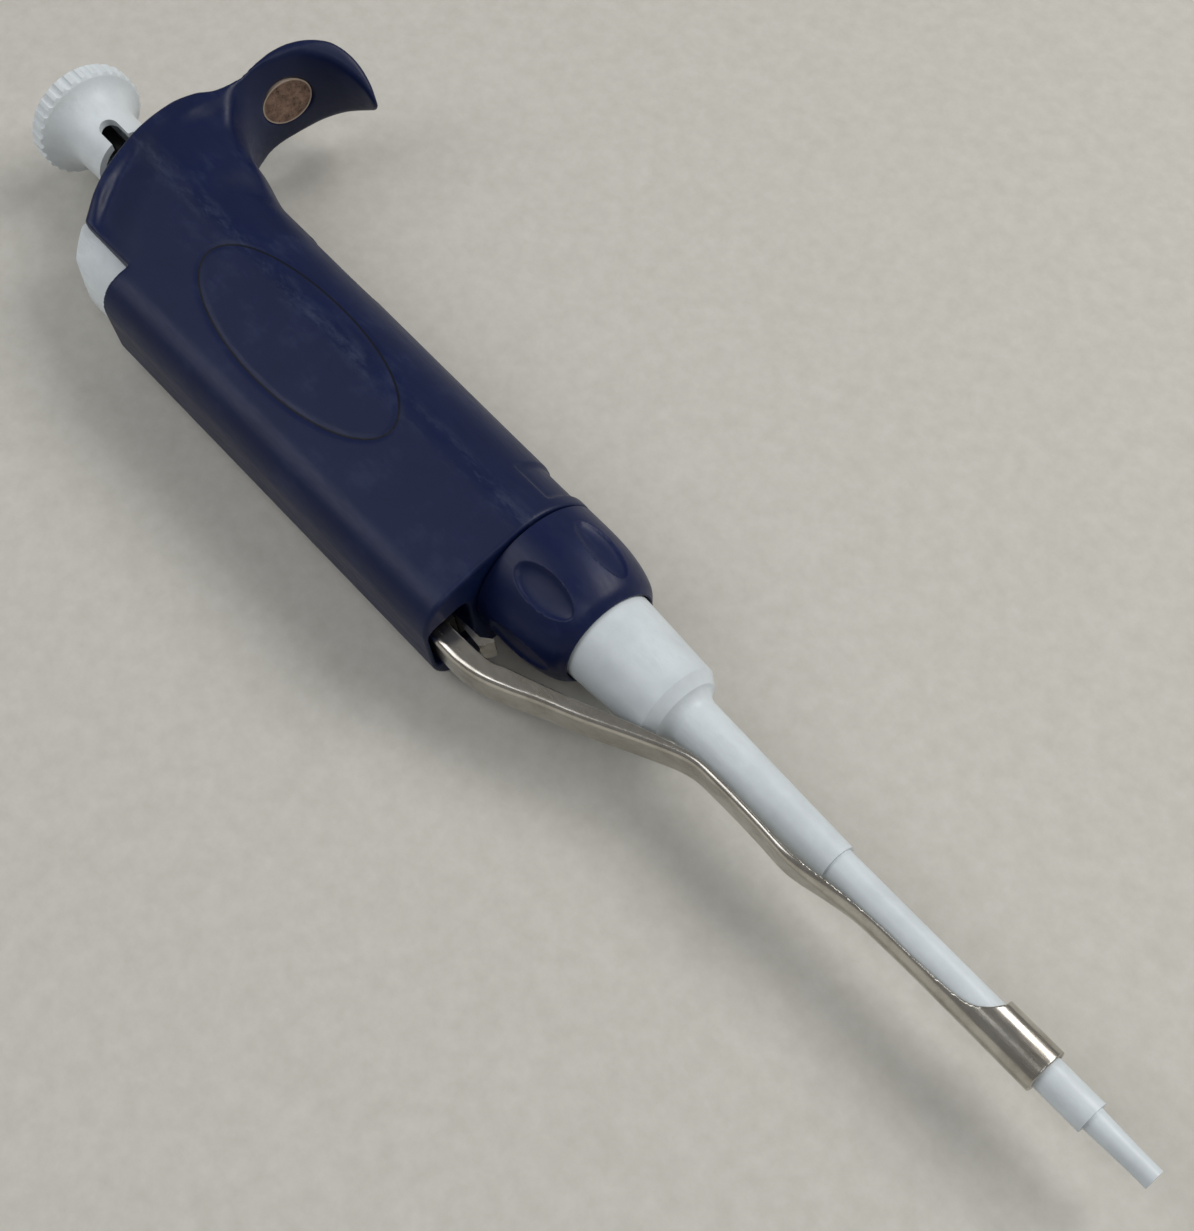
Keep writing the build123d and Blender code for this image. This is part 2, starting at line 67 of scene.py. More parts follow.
def round_join(a, b, radius):
    """Two shapes together, with a fillet where they meet."""
    corner = np.hypot(np.maximum(radius - a, 0), np.maximum(radius - b, 0))
    return np.maximum(np.minimum(a, b), radius) - corner


def without(field, *holes):
    """A shape with the holes cut out of it."""
    for hole in holes:
        field = np.maximum(field, -hole)
    return field


def ease(start, end, value):
    """0 before start, 1 past end, and smooth between; start may be the larger of the two."""
    t = np.clip((value - start) / (end - start), 0, 1)
    return t * t * (3 - 2 * t)


def through(points, steps=8):
    """A smooth line (Catmull-Rom) through the points."""
    p = np.array(points, float)
    p = np.vstack([2 * p[0] - p[1], p, 2 * p[-1] - p[-2]])
    t = np.linspace(0, 1, steps, endpoint=False)[:, None]
    line = []
    for a, b, c, d in zip(p, p[1:], p[2:], p[3:]):
        line.append(0.5 * (2 * b + (c - a) * t + (2 * a - 5 * b + 4 * c - d) * t**2
                           + (3 * b - a - 3 * c + d) * t**3))
    return np.vstack(line + [p[-2:-1]])


def table(value, points):
    """Straight-line interpolation through a list of (value, result) points."""
    return np.interp(value, *np.array(points).T)


def area_distance(x, y, outline):
    """Signed distance to a closed outline in the plane, negative inside."""
    best = np.full(x.shape, np.inf)
    inside = np.zeros(x.shape, bool)
    for (ax, ay), (bx, by) in zip(outline, np.roll(outline, -1, axis=0)):
        dx, dy = bx - ax, by - ay
        t = np.clip(((x - ax) * dx + (y - ay) * dy) / (dx * dx + dy * dy + 1e-12), 0, 1)
        best = np.minimum(best, np.hypot(x - ax - t * dx, y - ay - t * dy))
        if by != ay:
            crosses = (ay > y) != (by > y)
            inside ^= crosses & (x < ax + (y - ay) * dx / dy)
    return np.where(inside, -best, best)


def side_view(x, y, edge, corners):
    """Signed distance, in the side view, to the area between a smooth edge and its far corners."""
    flat_x, flat_y = np.broadcast_arrays(x[:, :, 0], y[:, :, 0])
    return area_distance(flat_x, flat_y, np.vstack([through(edge), corners]))[:, :, None]


def ellipse_line(x, y, middle_x, middle_y, half_x, half_y):
    """Distance to the line of an ellipse, to first order."""
    long_way, wide_way = (x - middle_x) / half_x, (y - middle_y) / half_y
    oval = np.hypot(long_way, wide_way)
    steep = np.hypot(long_way / half_x, wide_way / half_y) + 1e-6
    return np.abs(oval - 1) * oval / steep


# ---------------------------------------------------------------- fields to meshes
CORNERS = [(i, j, k) for i in (0, 1) for j in (0, 1) for k in (0, 1)]  # of a grid cell


def grid(low, high, step):
    """Axes of a grid of points, as three arrays that broadcast against each other."""
    axes = [np.arange(a, b + step, step) for a, b in zip(low, high)]
    return np.meshgrid(*axes, indexing="ij", sparse=True)


def soften(field):
    """Light blur of a field, which rounds its sharpest edges by about one step."""
    for axis in range(3):
        ahead = np.roll(field, -1, axis)
        behind = np.roll(field, 1, axis)
        field = 0.5 * field + 0.25 * (ahead + behind)
    return field


def crossings(field, cells):
    """Mean place, inside each cell, of where the field crosses zero along the cell's edges."""
    total = np.zeros((len(cells), 3))
    hits = np.zeros(len(cells))
    for a in CORNERS:
        for axis in range(3):
            if a[axis]:
                continue
            b = np.array(a)
            b[axis] = 1
            fa = field[tuple((cells + a).T)]
            fb = field[tuple((cells + b).T)]
            hit = (fa < 0) != (fb < 0)
            t = np.where(hit, fa / np.where(hit, fa - fb, 1), 0)
            place = np.array(a) + t[:, None] * (b - np.array(a))
            total += place * hit[:, None]
            hits += hit
    return total / hits[:, None]


def quads_across(inside, number, axis):
    """A face for each grid edge along the axis that the surface cuts, joining its four cells."""
    one, two = [a for a in range(3) if a != axis]
    first = [slice(None)] * 3
    second = [slice(None)] * 3
    first[axis], second[axis] = slice(0, -1), slice(1, None)
    change = inside[tuple(first)] != inside[tuple(second)]
    at = np.argwhere(change)
    at = at[(at[:, one] > 0) & (at[:, two] > 0)]
    at = at[(at[:, one] < inside.shape[one] - 1) & (at[:, two] < inside.shape[two] - 1)]
    ring = []
    for da, db in ((1, 1), (0, 1), (0, 0), (1, 0)):
        cell = at.copy()
        cell[:, one] -= da
        cell[:, two] -= db
        ring.append(number[tuple(cell.T)])
    ring = np.stack(ring, 1)
    flip = inside[tuple(at.T)] == (axis == 1)
    ring[flip] = ring[flip][:, ::-1]
    return ring


def surface(name, field, low, step):
    """Object of a field's zero surface (surface nets), moved from local axes to the row frame."""
    inside = field < 0
    count = np.zeros([n - 1 for n in field.shape], np.int8)
    cut = [slice(0, -1), slice(1, None)]
    for i, j, k in CORNERS:
        count += inside[cut[i], cut[j], cut[k]]
    cells = np.argwhere((count > 0) & (count < len(CORNERS)))
    number = np.full(count.shape, -1, np.int32)
    number[tuple(cells.T)] = np.arange(len(cells))
    places = np.array(low) + (cells + crossings(field, cells)) * step
    quads = np.vstack([quads_across(inside, number, axis) for axis in range(3)])
    mesh = bpy.data.meshes.new(name)
    mesh.vertices.add(len(places))
    mesh.vertices.foreach_set("co", places.astype(np.float32).ravel())
    mesh.loops.add(quads.size)
    mesh.loops.foreach_set("vertex_index", quads.astype(np.int32).ravel())
    mesh.polygons.add(len(quads))
    mesh.polygons.foreach_set("loop_start", np.arange(0, quads.size, 4, dtype=np.int32))
    mesh.update(calc_edges=True)
    mesh.validate()
    mesh.shade_smooth()
    return placed(name, mesh)


def placed(name, mesh):
    """Object of a mesh written in local axes."""
    mesh.transform(TO_ROW)
    piece = bpy.data.objects.new(name, mesh)
    bpy.context.scene.collection.objects.link(piece)
    return piece


# ---------------------------------------------------------------- handle
FRONT_R = 11.8  # radius of the round front, and distance of the flat sides from the axis
LOW_X = 117.6  # where the shell starts, above the coupling nut
BACK_LOW_X = 117.0  # the same at the back
LOW_SLANT = (11.0, 0.6)  # along and up: the lean of the shell's low end behind LOW_SLANT_Y
LOW_SLANT_Y = 9.5
LOW_TAPER = 0.6  # the front draws in by this much towards the coupling nut
BACK_Y = 20.5  # back face at its low end
BACK_RUN = 107  # the back face moves out by 1 over this length
BACK_R = 5.5
SCOOP = 1.5  # the body draws in by this much under the rim
LOW_EDGE_R = 0.4
TOP_EDGE_R = 0.6
RIM_THICK = 2.0
RIM_HALF = 11.0
RIM_EDGE_R = 0.9
HOOK_EDGE_R = 1.1
HOOK_HOLLOW = 1.2  # the finger side is hollowed by this much at its edges
HOOK_FILLET = 6.0
RIM_FILLET = (1.3, 3.5)  # beside the body, and out on the hook
SIDE_LIMIT = 10.8  # half width at the top edge
SIDE_SLOPE = 0.25  # by which the limit widens going down
SIDE_EDGE_R = 0.7

# side outline of the top edge, from the back corner over to the hook's tip
TOP_EDGE = [(203.0, 20.5), (206.4, 17.6), (209.0, 14.8), (212.4, 10.1), (215.0, 5.5),
            (217.3, -1.5), (217.9, -7.8), (217.0, -12.4), (215.4, -16.2), (214.9, -19.4),
            (215.7, -23.6), (216.2, -28.3), (215.4, -32.5), (213.3, -35.7), (210.5, -37.6),
            (207.4, -38.3), (204.4, -38.0), (202.4, -37.3)]
TOP_CORNERS = [(190, -37.3), (90, -37.3), (90, 40), (203, 40)]
# finger side of the hook, from the tip in to the front of the body
FINGER_SIDE = [(201.9, -36.4), (205.5, -35.9), (209.4, -34.1), (212.1, -30.9), (213.3, -26.5),
               (213.6, -22.8), (212.6, -19.2), (210.0, -16.0), (206.0, -13.2), (200.5, -11.4),
               (196.8, -10.9)]
FINGER_CORNERS = [(80, -10.9), (80, -80), (201.0, -80)]
# half widths of the hook along x: the tongue at its tip, and the web between it and the body
TONGUE = [(201.6, 0.9), (203.3, 2.7), (205.6, 4.4), (208.4, 6.1), (212.1, 8.1), (214.4, 9.2),
          (217.0, 10.2), (222.0, 10.4)]
WEB = [(192.0, 6.0), (198.0, 6.8), (204.0, 7.6), (208.5, 8.4), (212.0, 9.4), (214.5, 10.6),
       (222.0, 10.9)]
# half widths of the hook along y, from its tip
PLAN = [(-40.0, 7.0), (-34.0, 8.6), (-30.0, 9.4), (-26.0, 9.9), (-20.0, 10.4), (25.0, 10.4)]

OVAL = (166.0, 4.4, 22.5, 8.5)  # middle and half sizes of the groove on the side that faces up
OVAL_HALF = 0.25  # half width of the groove, and its depth
# radius of the bore up the axis: the drive, the shelf hole and the mouth for the knob's skirt
BORE = [(100, 12), (117.4, 12), (117.5, 9.6), (199.3, 9.6), (199.4, 3.4), (203.9, 3.4),
        (204, 6.5), (214, 6.5), (218.4, 9.2), (230, 9.2)]
CHANNEL_Y = 16.05  # the ejector rod's channel, up to CHANNEL_TOP
CHANNEL_HALF = (3.75, 5.0)
CHANNEL_EDGE_R = 1.5
CHANNEL_TOP = 186
POCKET_Y = 13.6  # the ejector button's pocket, flat on the side of the axis
POCKET_R = 7.14
POCKET_FLAT_Y = 12.95
POCKET_LOW = 181
NOTCH_X = 196.4  # the corner above these is open for the ejector button
NOTCH_Y = 14.6
WINDOW_X = 176.5  # volume window in the front, from WINDOW_Y outwards
WINDOW_HALF = (8.0, 4.7)
WINDOW_Y = -4
RECESS_X = 123.6  # shallow recess low on the front
RECESS_HALF = 3.6
RECESS_DEEP = 0.5
DISC = (213.3, -26.5)  # middle of the round insert in the hook
DISC_R = 4.6
DISC_LEAN = math.radians(8.0)
DISC_PLAY = 0.05
DISC_SEAT = (-3.0, 1.0)  # from the floor of the insert's seat to past its mouth


def front_taper(x, y):
    """How far the front draws in on its way down."""
    return LOW_TAPER * ease(205, 120, x) * ease(2, -9, y)


def off_flats(y, height):
    """Distance out of the two flat sides, which lean by ROLL each."""
    return y * math.sin(ROLL) + height * math.cos(ROLL) - FRONT_R


def body_field(x, y, z, top):
    """Round front, flat sides and rounded back, scooped in under the rim.

    The ranges given to ease() here and below say where along x, y or the distance from the
    top edge a feature fades in or out.
    """
    height = np.abs(z)
    scoop = SCOOP * ease(-11, -2.5, top) * ease(20, 12, y)
    along_flat = y * math.cos(ROLL) - height * math.sin(ROLL)
    round_front = np.hypot(y, z) - FRONT_R + scoop + front_taper(x, y)
    back_y = BACK_Y + (x - BACK_LOW_X) / BACK_RUN
    flat_back = round_both(off_flats(y, height) + scoop, y - back_y, BACK_R)
    body = np.where(along_flat < 0, round_front, flat_back)
    run, rise = LOW_SLANT
    slant = ((LOW_X - x) * run + (LOW_SLANT_Y - y) * rise) / math.hypot(run, rise)
    low = np.maximum(np.minimum(LOW_X - x, slant), BACK_LOW_X - x)
    body = round_both(body, low, LOW_EDGE_R)
    return round_both(body, top, TOP_EDGE_R)


def rim_field(y, height, top):
    """Rim along the top edge, which gets narrower at the back and thins out into the hook."""
    half = RIM_HALF - 2.5 * ease(9, 17, y) - 0.9 * ease(-8, -18, y)
    thick = RIM_THICK - 2.8 * ease(-5, -19, y)
    rim = round_both(np.maximum(top, -top - thick), height - half, RIM_EDGE_R)
    fade = 5 * ease(-10, -22, y)
    return rim + fade


def hook_field(x, y, height, top):
    """Finger hook, hollowed across on its finger side."""
    finger = side_view(x, y, FINGER_SIDE, FINGER_CORNERS)
    finger = finger - HOOK_HOLLOW * np.minimum(height / 10, 1.2) ** 2
    behind = ease(-36, -20, y)
    seen_along = table(x, TONGUE) * (1 - behind) + table(x, WEB) * behind
    half = np.minimum(seen_along, table(y, PLAN))
    hook = round_both(np.maximum(top, -finger), (height - half) * 0.9, HOOK_EDGE_R)
    fade = 8 * ease(201, 187, x)
    return np.maximum(hook, y + 4) + fade


def drive_holes(x, y, z):
    """The bore, and the channel, pocket and notch of the ejector."""
    height = np.abs(z)
    yield np.hypot(y, z) - table(x, BORE)
    half_y, half_z = CHANNEL_HALF
    channel = round_both(np.abs(y - CHANNEL_Y) - half_y, height - half_z, CHANNEL_EDGE_R)
    yield np.maximum(channel, x - CHANNEL_TOP)
    pocket = np.maximum(np.hypot(y - POCKET_Y, z) - POCKET_R, POCKET_FLAT_Y - y)
    yield np.maximum(pocket, POCKET_LOW - x)
    yield np.maximum(NOTCH_X - x, NOTCH_Y - y)


def outer_recesses(x, y, z):
    """The volume window, the recess low on the front and the seat of the round insert."""
    half_x, half_z = WINDOW_HALF
    window = np.maximum(np.abs(x - WINDOW_X) - half_x, np.abs(z) - half_z)
    yield np.maximum(window, y - WINDOW_Y)
    radius = np.hypot(y, z)
    floor_r = FRONT_R - front_taper(x, y) - RECESS_DEEP
    band = np.maximum(np.abs(x - RECESS_X) - RECESS_HALF, floor_r - radius)
    yield np.maximum(band, y + 0.5 * radius)
    up, out = x - DISC[0], y - DISC[1]
    deep = up * math.cos(DISC_LEAN) - out * math.sin(DISC_LEAN)
    across = up * math.sin(DISC_LEAN) + out * math.cos(DISC_LEAN)
    seat_middle, seat_half = sum(DISC_SEAT) / 2, (DISC_SEAT[1] - DISC_SEAT[0]) / 2
    seat = np.hypot(across, z) - DISC_R - DISC_PLAY
    yield np.maximum(seat, np.abs(deep - seat_middle) - seat_half)


def handle_field(x, y, z):
    """The whole handle shell."""
    height = np.abs(z)
    top = side_view(x, y, TOP_EDGE, TOP_CORNERS)
    field = round_join(body_field(x, y, z, top), hook_field(x, y, height, top), HOOK_FILLET)
    rim_fillet = RIM_FILLET[0] + (RIM_FILLET[1] - RIM_FILLET[0]) * ease(0, -12, y)
    field = round_join(field, rim_field(y, height, top), rim_fillet)
    limit = SIDE_LIMIT - 0.05 * np.clip(-y - 10, 0, 30)
    wide = (height - limit - SIDE_SLOPE * np.maximum(-top - 2, 0)) * 0.95
    field = round_both(field, wide, SIDE_EDGE_R)
    field = np.maximum(field, off_flats(y, height))
    field = round_both(field, top, SIDE_EDGE_R)
    groove = np.maximum(ellipse_line(x, y, *OVAL) - OVAL_HALF, -z)
    field = without(field, np.maximum(groove, -field - OVAL_HALF))
    return without(field, *drive_holes(x, y, z), *outer_recesses(x, y, z))


HANDLE_STEP = 0.3
HANDLE_LOW = (111.0, -40.5, -13.4)
HANDLE_HIGH = (220.0, 24.0, 13.4)
THIN_Y = 18  # past this is the wall behind the channel, which softening would eat through

handle_points = grid(HANDLE_LOW, HANDLE_HIGH, HANDLE_STEP)
handle_shape = handle_field(*handle_points).astype(np.float32)
handle_shape = np.where(handle_points[1] > THIN_Y, handle_shape, soften(handle_shape))
handle = surface("handle_shell", handle_shape, HANDLE_LOW, HANDLE_STEP)
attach(handle, "handle")
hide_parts("handle_body")


# ---------------------------------------------------------------- ejector arm
# side outlines of the arm, from the sleeve up: its back, and its open front
ARM_BACK = [(15.0, 3.42), (36.0, 3.42), (47.0, 3.66), (53.0, 4.4), (57.0, 5.05), (60.3, 5.35),
            (65.8, 5.1), (73.8, 5.0), (79.0, 5.4), (85.2, 8.0), (93.8, 12.2), (99.4, 14.6),
            (104.0, 16.8), (108.0, 18.4), (112.0, 19.2), (116.0, 19.3), (128.0, 19.3)]
ARM_FRONT = [(15.0, -4.0), (26.0, -4.0), (26.8, -2.2), (28.2, 0.2), (31.0, 1.7), (37.6, 2.2),
             (47.0, 2.5), (53.0, 3.2), (57.0, 3.9), (61.5, 4.2), (69.7, 3.9), (77.9, 4.0),
             (82.7, 5.2), (87.6, 6.9), (96.4, 10.6), (105.9, 14.2), (111.0, 15.7), (128.0, 16.0)]
ARM_HALF = 3.4
ARM_WALL = 0.5
ARM_CORNER_R = (3.35, 1.05)  # outer corners by the sleeve, and from the first bend up
ARM_EDGE_R = 0.12
ARM_END_R = 0.15
ARM_ENDS = (17.9, 125.9)
SLEEVE_R = (2.88, 3.38)
SLEEVE_TOP = 33  # above this the sheet has no sleeve round the shaft


def arm_field(x, y, z):
    """Bent sheet: a channel that closes into a sleeve round the shaft at its low end."""
    height = np.abs(z)
    back = np.interp(x, *through(ARM_BACK).T)
    front = np.interp(x, *through(ARM_FRONT).T)
    corner = ARM_CORNER_R[0] - (ARM_CORNER_R[0] - ARM_CORNER_R[1]) * ease(48, 62, x)
    outer = round_both(height - ARM_HALF, y - back, corner)
    inner = round_both(height - ARM_HALF + ARM_WALL, y - back + ARM_WALL, corner - ARM_WALL)
    sheet = without(outer, inner)
    radius = np.hypot(y, z)
    sleeve = np.maximum(radius - SLEEVE_R[1], SLEEVE_R[0] - radius)
    near_sleeve = ease(SLEEVE_TOP, 29, x)
    sheet = np.where(y < 0, sleeve, sheet) * near_sleeve + sheet * (1 - near_sleeve)
    sheet = np.where((y < 0) & (x > SLEEVE_TOP), 1.0, sheet)
    field = round_both(sheet, (front - y) * 0.9, ARM_EDGE_R)
    field = round_both(field, ARM_ENDS[0] - x, ARM_END_R)
    return np.maximum(field, x - ARM_ENDS[1])


ARM_STEP = 0.17
ARM_LOW = (17.0, -4.2, -4.2)
ARM_HIGH = (127.0, 20.4, 4.2)

arm_shape = arm_field(*grid(ARM_LOW, ARM_HIGH, ARM_STEP)).astype(np.float32)
arm = surface("ejector_arm_sheet", arm_shape, ARM_LOW, ARM_STEP)
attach(arm, "ejector")
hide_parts("ejector_arm")


# ---------------------------------------------------------------- coupling nut
# (x, radius) of the outside going up, and of the inside coming back down
NUT_SIDE = [(101.4, 8.2), (103.2, 9.6), (106.6, 10.6), (111.0, 11.1), (117.4, 11.15)]
NUT_BORE = [(117.5, 10.9), (117.5, 8.9), (103.4, 8.9), (103.4, 7.95), (101.4, 7.95)]
NUT_AROUND = 360  # points around
NUT_ALONG = 18  # points along each stretch of NUT_SIDE
DIMPLES = 6
DIMPLE_X = 109.0
DIMPLE_R = 11  # radius at which a dimple's width is measured
DIMPLE_LONG = 5.4
DIMPLE_WIDE = 2.6
DIMPLE_TURN = 5 / 60  # of the first dimple from the ejector side, in pitches
DIMPLE_DEEP = 0.95


def nut_mesh():
    """Turned nut with scooped finger dimples around it."""
    side = through(NUT_SIDE, NUT_ALONG)
    line = np.vstack([side, NUT_BORE])
    angle = np.linspace(0, 2 * math.pi, NUT_AROUND, endpoint=False)[:, None]
    x = np.broadcast_to(line[:, 0], (NUT_AROUND, len(line)))
    radius = np.broadcast_to(line[:, 1], x.shape).copy()
    pitch = 2 * math.pi / DIMPLES
    off = (angle - DIMPLE_TURN * pitch + pitch / 2) % pitch - pitch / 2
    spot = np.hypot((x - DIMPLE_X) / DIMPLE_LONG, off * DIMPLE_R / DIMPLE_WIDE)
    dent = DIMPLE_DEEP * np.sqrt(np.clip(1 - spot**2, 0, 1))
    radius[:, :len(side)] -= dent[:, :len(side)]
    places = np.stack([x, radius * np.cos(angle), radius * np.sin(angle)], 2).reshape(-1, 3)
    row, spoke = len(line), np.arange(NUT_AROUND)[:, None] * len(line)
    next_spoke = np.roll(spoke, -1, axis=0)
    j = np.arange(row)
    next_j = np.roll(j, -1)
    faces = np.stack([spoke + j, spoke + next_j, next_spoke + next_j, next_spoke + j], 2)
    mesh = bpy.data.meshes.new("grip_nut")
    mesh.from_pydata(places.tolist(), [], faces.reshape(-1, 4).tolist())
    mesh.shade_smooth()
    return mesh


nut = placed("grip_nut", nut_mesh())
crisp = nut.modifiers.new("crisp", "EDGE_SPLIT")
crisp.split_angle = math.radians(50)
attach(nut, "coupling")
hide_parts("coupling_nut")


# ---------------------------------------------------------------- materials
class Nodes:
    """Short calls for building a node material."""

    def __init__(self, name):
        self.material = bpy.data.materials.new(name)
        self.material.use_nodes = True
        self.tree = self.material.node_tree
        self.shader = self.tree.nodes["Principled BSDF"]

    def add(self, kind, inputs=(), **settings):
        """A node with its settings and inputs."""
        node = self.tree.nodes.new(kind)
        for key, value in settings.items():
            setattr(node, key, value)
        for key, value in dict(inputs).items():
            self.feed(node.inputs[key], value)
        return node

    def feed(self, socket, value):
        """Link a socket into another, or set its constant."""
        if isinstance(value, bpy.types.NodeSocket):
            self.tree.links.new(value, socket)
        else:
            socket.default_value = value

    def local(self):
        """Position in the pipette's local axes, in millimetres."""
        place = self.add("ShaderNodeTexCoord").outputs["Object"]
        per_metre = 1 / MM
        turned = self.add("ShaderNodeMapping", {"Vector": place, "Rotation": (ROLL, 0, 0),
                                                "Scale": (per_metre, per_metre, per_metre)})
        return turned.outputs["Vector"]

    def noise(self, place, scale, detail, rough, stretch=(1, 1, 1)):
        """Value of a noise texture, about 0.3 to 0.7."""
        mapped = self.add("ShaderNodeMapping", {"Vector": place, "Scale": stretch})
        node = self.add("ShaderNodeTexNoise", {"Vector": mapped.outputs["Vector"],
                                               "Scale": scale, "Detail": detail,
                                               "Roughness": rough})
        return node.outputs["Fac"]

    def ramp(self, value, low, high, out_low=0.0, out_high=1.0):
        """Straight ramp from out_low at low to out_high at high, level outside them."""
        node = self.add("ShaderNodeMapRange", {"Value": value, "From Min": low, "From Max": high,
                                               "To Min": out_low, "To Max": out_high})
        return node.outputs["Result"]

    def math(self, operation, a, b=0.0):
        """One step of arithmetic."""
        return self.add("ShaderNodeMath", {0: a, 1: b}, operation=operation).outputs[0]

    def squares(self, a, b):
        """Sum of two squares."""
        return self.math("ADD", self.math("POWER", a, 2.0), self.math("POWER", b, 2.0))

    def mix(self, share, a, b):
        """Colour between a and b."""
        node = self.add("ShaderNodeMix", data_type="RGBA")
        factor, colour_a, colour_b = (node.inputs[i] for i in (0, 6, 7))
        self.feed(factor, share)
        self.feed(colour_a, a)
        self.feed(colour_b, b)
        return node.outputs[2]

    def bump(self, height, distance, strength, normal=None):
        """Normal of a bumpy surface, laid over another normal if there is one."""
        inputs = {"Height": height, "Distance": distance, "Strength": strength}
        if normal is not None:
            inputs["Normal"] = normal
        return self.add("ShaderNodeBump", inputs).outputs["Normal"]

    def finish(self, **inputs):
        """The material, with the shader's inputs fed."""
        for key, value in inputs.items():
            self.feed(self.shader.inputs[key.replace("_", " ")], value)
        return self.material


def rgb(red, green, blue):
    """Linear colour from an ordinary 0-255 one."""
    def linear(c):
        c = c / 255
        return c / 12.92 if c <= 0.04045 else ((c + 0.055) / 1.055) ** 2.4
    return (linear(red), linear(green), linear(blue), 1.0)


def crest_wear_and_highlight(n, place, split):
    """Mask of pale streaks along the highest line of the side that faces up: partly wear, partly a
    painted highlight where the crest catches the light.
    """
    from_crest = n.math("ABSOLUTE", split.outputs["Y"])
    near = n.math("MULTIPLY", n.ramp(from_crest, 2.6, 0.2), n.ramp(split.outputs["Z"], 8, 10))
    patches = n.noise(place, 0.28, 6, 0.75, (0.35, 1.0, 1.0))
    return n.math("MULTIPLY", n.math("MULTIPLY", near, n.ramp(patches, 0.5, 0.68)), 0.4)


def groove_shade(n, split):
    """Mask of painted shade along the bottom of the ellipse groove."""
    middle_x, middle_y, half_x, half_y = OVAL
    long_way = n.math("DIVIDE", n.math("SUBTRACT", split.outputs["X"], middle_x), half_x)
    wide_way = n.math("DIVIDE", n.math("SUBTRACT", split.outputs["Y"], middle_y), half_y)
    oval = n.math("SQRT", n.squares(long_way, wide_way))
    slope = n.squares(n.math("DIVIDE", long_way, half_x), n.math("DIVIDE", wide_way, half_y))
    off = n.math("MULTIPLY", n.math("ABSOLUTE", n.math("SUBTRACT", oval, 1.0)), oval)
    off_line = n.math("DIVIDE", off, n.math("SQRT", n.math("ADD", slope, 0.00001)))
    line = n.math("MULTIPLY", n.ramp(off_line, 0.24, 0.12), n.ramp(split.outputs["Z"], 5, 6))
    return n.math("MULTIPLY", line, 0.9)


def moulded(name, base, wear_and_sheen_colour, roughness, wear, handle_wear_and_painted_light=False):
    """Moulded plastic: slight mottling, fine texture, scuffs, and dusty wear; on the handle also a
    painted highlight along the crest and painted shade in the groove.
    """
    n = Nodes(name)
    place = n.local()
    cloud = n.noise(place, 0.11, 5, 0.6)
    speck = n.noise(place, 2.2, 3, 0.7)
    scuff = n.noise(place, 0.9, 6, 0.72, (0.25, 1.0, 1.0))
    mask = n.ramp(n.math("MULTIPLY", scuff, n.ramp(cloud, 0.35, 0.7)), 0.27, 0.47, 0.0, wear)
    if handle_wear_and_painted_light:
        split = n.add("ShaderNodeSeparateXYZ", {"Vector": place})
        # on the handle: pale streaks along the crest, partly wear and partly a painted highlight,
        # mixed towards the wear colour
        mask = n.math("MAXIMUM", mask, crest_wear_and_highlight(n, place, split))
    paler = tuple(c * 1.25 for c in base[:3]) + (1.0,)
    colour = n.mix(mask, n.mix(n.ramp(cloud, 0.3, 0.7), base, paler), wear_and_sheen_colour)
    if handle_wear_and_painted_light:
        # painted shade: the bottom of the ellipse groove darkened almost to black
        colour = n.mix(groove_shade(n, split), colour, rgb(5, 7, 18))
    rough = n.math("ADD", n.ramp(scuff, 0.3, 0.7, roughness - 0.05, roughness + 0.09),
                   n.math("MULTIPLY", mask, 0.25))
    grain = n.bump(speck, 0.00002, 0.35)
    n.shader.inputs["Specular IOR Level"].default_value = 0.3
    return n.finish(Base_Color=colour, Roughness=rough, Normal=n.bump(cloud, 0.0002, 0.25, grain))


DRAWN = (0.12, 1.0, 1.0)  # lines that run along the pipette
TURNED = (1.0, 0.2, 0.2)  # lines that run around it


def metal(name, base, dark, roughness, stretch=DRAWN):
    """Bare metal: tool lines, faint stains and uneven polish."""
    n = Nodes(name)
    place = n.local()
    lines = n.noise(place, 3.0, 3, 0.6, stretch)
    stain = n.noise(place, 0.16, 6, 0.65)
    colour = n.mix(n.ramp(stain, 0.42, 0.75), base, dark)
    rough = n.math("ADD", n.ramp(lines, 0.3, 0.7, roughness - 0.04, roughness + 0.05),
                   n.ramp(stain, 0.4, 0.8, 0.0, 0.14))
    n.shader.inputs["Metallic"].default_value = 1.0
    return n.finish(Base_Color=colour, Roughness=rough, Normal=n.bump(lines, 0.00001, 0.3))


def tarnished(name):
    """Bronze-coloured insert: mottled brown tarnish with dark specks and a pale edge."""
    n = Nodes(name)
    place = n.local()
    cloud = n.noise(place, 0.32, 8, 0.7)
    fine = n.noise(place, 1.4, 6, 0.7)
    tone = n.mix(n.ramp(cloud, 0.38, 0.62), rgb(160, 131, 114), rgb(92, 72, 62))
    tone = n.mix(n.ramp(fine, 0.54, 0.72), tone, rgb(38, 30, 27))
    middle = n.add("ShaderNodeVectorMath", {0: place, 1: (*DISC, 0)}, operation="DISTANCE")
    tone = n.mix(n.ramp(middle.outputs["Value"], 4.2, 4.42), tone, rgb(196, 180, 166))
    n.shader.inputs["Metallic"].default_value = 0.55
    return n.finish(Base_Color=tone, Roughness=n.ramp(fine, 0.3, 0.7, 0.42, 0.7),
                    Normal=n.bump(fine, 0.00008, 0.6))


def clear(name):
    """Window lens: clear plastic with light scratches."""
    n = Nodes(name)
    place = n.local()
    scratch = n.noise(place, 2.0, 5, 0.7, (0.2, 1.0, 1.0))
    n.shader.inputs["Transmission Weight"].default_value = 1.0
    n.shader.inputs["IOR"].default_value = 1.49
    return n.finish(Base_Color=rgb(225, 230, 232), Roughness=n.ramp(scratch, 0.4, 0.8, 0.05, 0.3),
                    Normal=n.bump(scratch, 0.00002, 0.3))


